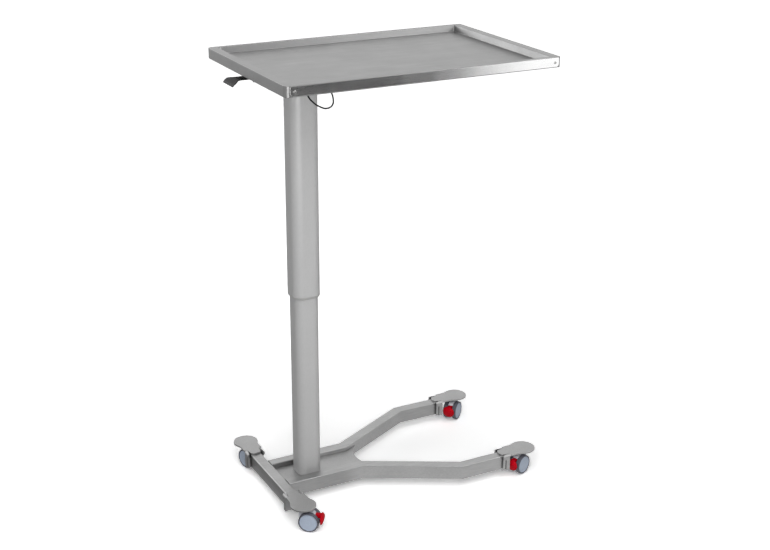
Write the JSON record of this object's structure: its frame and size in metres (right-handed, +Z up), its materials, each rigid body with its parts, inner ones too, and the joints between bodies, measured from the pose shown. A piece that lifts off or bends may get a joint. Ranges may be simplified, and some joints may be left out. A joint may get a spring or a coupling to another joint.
{
  "type": "instrument cart",
  "caption": "Height-adjustable instrument cart: a shallow steel tray on an offset gas-lift column over a splayed tube base with braked twin-wheel casters.",
  "frame": {"origin": "on the floor, under the middle of the cart's length and width, without the cable", "axes": "+Z up along the column, +X from the column towards the open end of the base, +Y to the left of that"},
  "size_m": [0.792, 0.5036, 1.187],
  "materials": {
    "tray_steel": "brushed",
    "strip_steel": "polished",
    "tube_steel": "brushed",
    "plate_steel": "brushed",
    "column_metal": "satin anodised",
    "screw_steel": "bright",
    "black_steel": "black enamel",
    "black_plastic": "moulded",
    "grey_plastic": "moulded",
    "housing_plastic": "moulded",
    "disc_plastic": "moulded",
    "tread_rubber": "matte",
    "red_plastic": "moulded"
  },
  "bodies": {
    "base": {"rear_cross_tube": "tube_steel", "right_leg_tube": "tube_steel", "left_leg_tube": "tube_steel", "column_base_plate": "plate_steel", "lower_column": "column_metal", "upper_guide_bush": "black_plastic", "gas_spring_cylinder": "black_steel", "gas_spring_gland": "plate_steel", "rear_right_caster_bracket": "plate_steel", "rear_left_caster_bracket": "plate_steel", "front_right_caster_bracket": "plate_steel", "front_left_caster_bracket": "plate_steel"},
    "lift": {"upper_column": "column_metal", "lower_guide_collar": "grey_plastic", "column_head_plate": "plate_steel", "gas_spring_rod": "plate_steel", "release_head": "black_steel", "tray_pan": "tray_steel", "right_edge_strip": "strip_steel", "left_edge_strip": "strip_steel", "right_rear_strip_screw": "screw_steel", "right_front_strip_screw": "screw_steel", "left_rear_strip_screw": "screw_steel", "left_front_strip_screw": "screw_steel", "lever_bracket": "black_steel", "lever_pin": "screw_steel", "release_cable": "black_plastic", "lever_cable_ferrule": "black_plastic", "head_cable_ferrule": "black_plastic"},
    "release_lever": {"release_lever": "black_plastic"},
    "rear_right_caster": {"rear_right_caster_housing": "housing_plastic", "rear_right_caster_axle": "screw_steel"},
    "rear_right_left_wheel": {"rear_right_left_tyre": "tread_rubber", "rear_right_left_disc": "disc_plastic"},
    "rear_right_right_wheel": {"rear_right_right_tyre": "tread_rubber", "rear_right_right_disc": "disc_plastic"},
    "rear_right_brake": {"rear_right_brake_pedal": "red_plastic"},
    "rear_left_caster": {"rear_left_caster_housing": "housing_plastic", "rear_left_caster_axle": "screw_steel"},
    "rear_left_left_wheel": {"rear_left_left_tyre": "tread_rubber", "rear_left_left_disc": "disc_plastic"},
    "rear_left_right_wheel": {"rear_left_right_tyre": "tread_rubber", "rear_left_right_disc": "disc_plastic"},
    "rear_left_brake": {"rear_left_brake_pedal": "red_plastic"},
    "front_right_caster": {"front_right_caster_housing": "housing_plastic", "front_right_caster_axle": "screw_steel"},
    "front_right_left_wheel": {"front_right_left_tyre": "tread_rubber", "front_right_left_disc": "disc_plastic"},
    "front_right_right_wheel": {"front_right_right_tyre": "tread_rubber", "front_right_right_disc": "disc_plastic"},
    "front_right_brake": {"front_right_brake_pedal": "red_plastic"},
    "front_left_caster": {"front_left_caster_housing": "housing_plastic", "front_left_caster_axle": "screw_steel"},
    "front_left_left_wheel": {"front_left_left_tyre": "tread_rubber", "front_left_left_disc": "disc_plastic"},
    "front_left_right_wheel": {"front_left_right_tyre": "tread_rubber", "front_left_right_disc": "disc_plastic"},
    "front_left_brake": {"front_left_brake_pedal": "red_plastic"}
  },
  "joints": [
    {"name": "column_lift", "type": "slide", "parent": "base", "child": "lift", "axis": [0, 0, 1], "range_m": [-0.38, 0]},
    {"name": "release_lever_pull", "type": "hinge", "parent": "lift", "child": "release_lever", "pos_m": [-0.328, 0.03, 1.149], "axis": [0, 1, 0], "range_deg": [0, 8], "stiffness_Nm_per_rad": 0.4, "springref_deg": -5.73},
    {"name": "rear_right_swivel", "type": "hinge", "parent": "base", "child": "rear_right_caster", "pos_m": [-0.3177, -0.197, 0], "axis": [0, 0, 1], "continuous": true},
    {"name": "rear_right_left_wheel_spin", "type": "hinge", "parent": "rear_right_caster", "child": "rear_right_left_wheel", "pos_m": [-0.3043, -0.20747, 0.0275], "axis": [0.6157, 0.788, 0], "continuous": true},
    {"name": "rear_right_right_wheel_spin", "type": "hinge", "parent": "rear_right_caster", "child": "rear_right_right_wheel", "pos_m": [-0.3043, -0.20747, 0.0275], "axis": [0.6157, 0.788, 0], "continuous": true},
    {"name": "rear_right_brake_press", "type": "hinge", "parent": "rear_right_caster", "child": "rear_right_brake", "pos_m": [-0.29091, -0.21793, 0.042], "axis": [0.6157, 0.788, 0], "range_deg": [0, 8]},
    {"name": "rear_left_swivel", "type": "hinge", "parent": "base", "child": "rear_left_caster", "pos_m": [-0.3177, 0.197, 0], "axis": [0, 0, 1], "continuous": true},
    {"name": "rear_left_left_wheel_spin", "type": "hinge", "parent": "rear_left_caster", "child": "rear_left_left_wheel", "pos_m": [-0.31273, 0.18074, 0.0275], "axis": [0.9563, 0.2924, 0], "continuous": true},
    {"name": "rear_left_right_wheel_spin", "type": "hinge", "parent": "rear_left_caster", "child": "rear_left_right_wheel", "pos_m": [-0.31273, 0.18074, 0.0275], "axis": [0.9563, 0.2924, 0], "continuous": true},
    {"name": "rear_left_brake_press", "type": "hinge", "parent": "rear_left_caster", "child": "rear_left_brake", "pos_m": [-0.30776, 0.16449, 0.042], "axis": [0.9563, 0.2924, 0], "range_deg": [0, 8]},
    {"name": "front_right_swivel", "type": "hinge", "parent": "base", "child": "front_right_caster", "pos_m": [0.362, -0.189, 0], "axis": [0, 0, 1], "continuous": true},
    {"name": "front_right_left_wheel_spin", "type": "hinge", "parent": "front_right_caster", "child": "front_right_left_wheel", "pos_m": [0.34624, -0.19537, 0.0275], "axis": [0.3746, -0.9272, 0], "continuous": true},
    {"name": "front_right_right_wheel_spin", "type": "hinge", "parent": "front_right_caster", "child": "front_right_right_wheel", "pos_m": [0.34624, -0.19537, 0.0275], "axis": [0.3746, -0.9272, 0], "continuous": true},
    {"name": "front_right_brake_press", "type": "hinge", "parent": "front_right_caster", "child": "front_right_brake", "pos_m": [0.33048, -0.20174, 0.042], "axis": [0.3746, -0.9272, 0], "range_deg": [0, 8]},
    {"name": "front_left_swivel", "type": "hinge", "parent": "base", "child": "front_left_caster", "pos_m": [0.362, 0.189, 0], "axis": [0, 0, 1], "continuous": true},
    {"name": "front_left_left_wheel_spin", "type": "hinge", "parent": "front_left_caster", "child": "front_left_left_wheel", "pos_m": [0.3486, 0.17853, 0.0275], "axis": [0.6157, -0.788, 0], "continuous": true},
    {"name": "front_left_right_wheel_spin", "type": "hinge", "parent": "front_left_caster", "child": "front_left_right_wheel", "pos_m": [0.3486, 0.17853, 0.0275], "axis": [0.6157, -0.788, 0], "continuous": true},
    {"name": "front_left_brake_press", "type": "hinge", "parent": "front_left_caster", "child": "front_left_brake", "pos_m": [0.33521, 0.16807, 0.042], "axis": [0.6157, -0.788, 0], "range_deg": [0, 8]}
  ]
}
